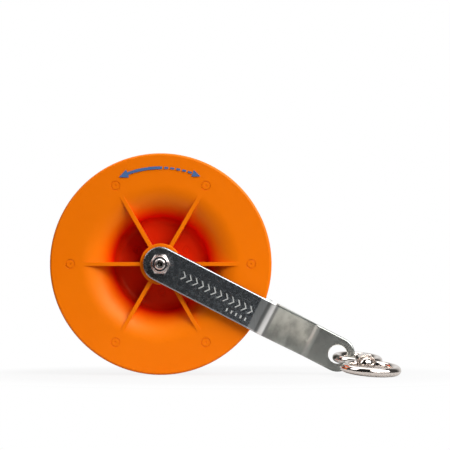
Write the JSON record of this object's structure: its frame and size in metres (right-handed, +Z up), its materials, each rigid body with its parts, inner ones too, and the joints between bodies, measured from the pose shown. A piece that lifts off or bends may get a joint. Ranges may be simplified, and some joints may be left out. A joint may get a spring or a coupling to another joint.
{
  "type": "cable pulling pulley",
  "caption": "Deep-grooved moulded cable pulling pulley on a bolted axle between two bent steel straps, with a swivel ring at the strap ends.",
  "frame": {"origin": "middle of the pulley's bounding box in X and Y, at the level of the table it stands on", "axes": "+Z up; the axle runs along Y with the nut side towards -Y; the straps run towards +X and down"},
  "size_m": [0.1905, 0.081, 0.1207],
  "materials": {
    "orange_plastic": "satin moulded",
    "bush": "plain moulded",
    "sleeve_steel": "turned",
    "washer_steel": "stamped",
    "zinc_steel": "bright zinc plated",
    "insert_nylon": "plain moulded",
    "strap_steel": "rolled, lightly mottled",
    "swivel_chrome": "polished plating"
  },
  "bodies": {
    "bracket": {"front_strap": "strap_steel", "rear_strap": "strap_steel", "axle_bolt": "zinc_steel", "lock_nut": "zinc_steel", "lock_nut_insert": "insert_nylon", "bolt_washer": "zinc_steel", "axle_sleeve": "sleeve_steel", "thrust_washer_front": "washer_steel", "thrust_washer_rear": "washer_steel"},
    "wheel": {"wheel_half_front": "orange_plastic", "wheel_half_rear": "orange_plastic", "hub_bush_front": "bush", "hub_bush_rear": "bush"},
    "eye": {"swivel_eye": "swivel_chrome"},
    "ring": {"swivel_ring": "swivel_chrome", "swivel_washer": "swivel_chrome"}
  },
  "joints": [
    {"name": "wheel_spin", "type": "hinge", "parent": "bracket", "child": "wheel", "pos_m": [-0.03494, 0.01189, 0.06032], "axis": [0, 1, 0], "continuous": true},
    {"name": "eye_turn", "type": "hinge", "parent": "bracket", "child": "eye", "pos_m": [0.07236, 0.00789, 0.00836], "axis": [0.0757, -0.1126, 0.9908], "range_deg": [-45, 190]},
    {"name": "ring_swivel", "type": "hinge", "parent": "eye", "child": "ring", "pos_m": [0.07236, 0.00789, 0.00836], "axis": [0.1927, -0.9732, -0.1253], "continuous": true}
  ]
}
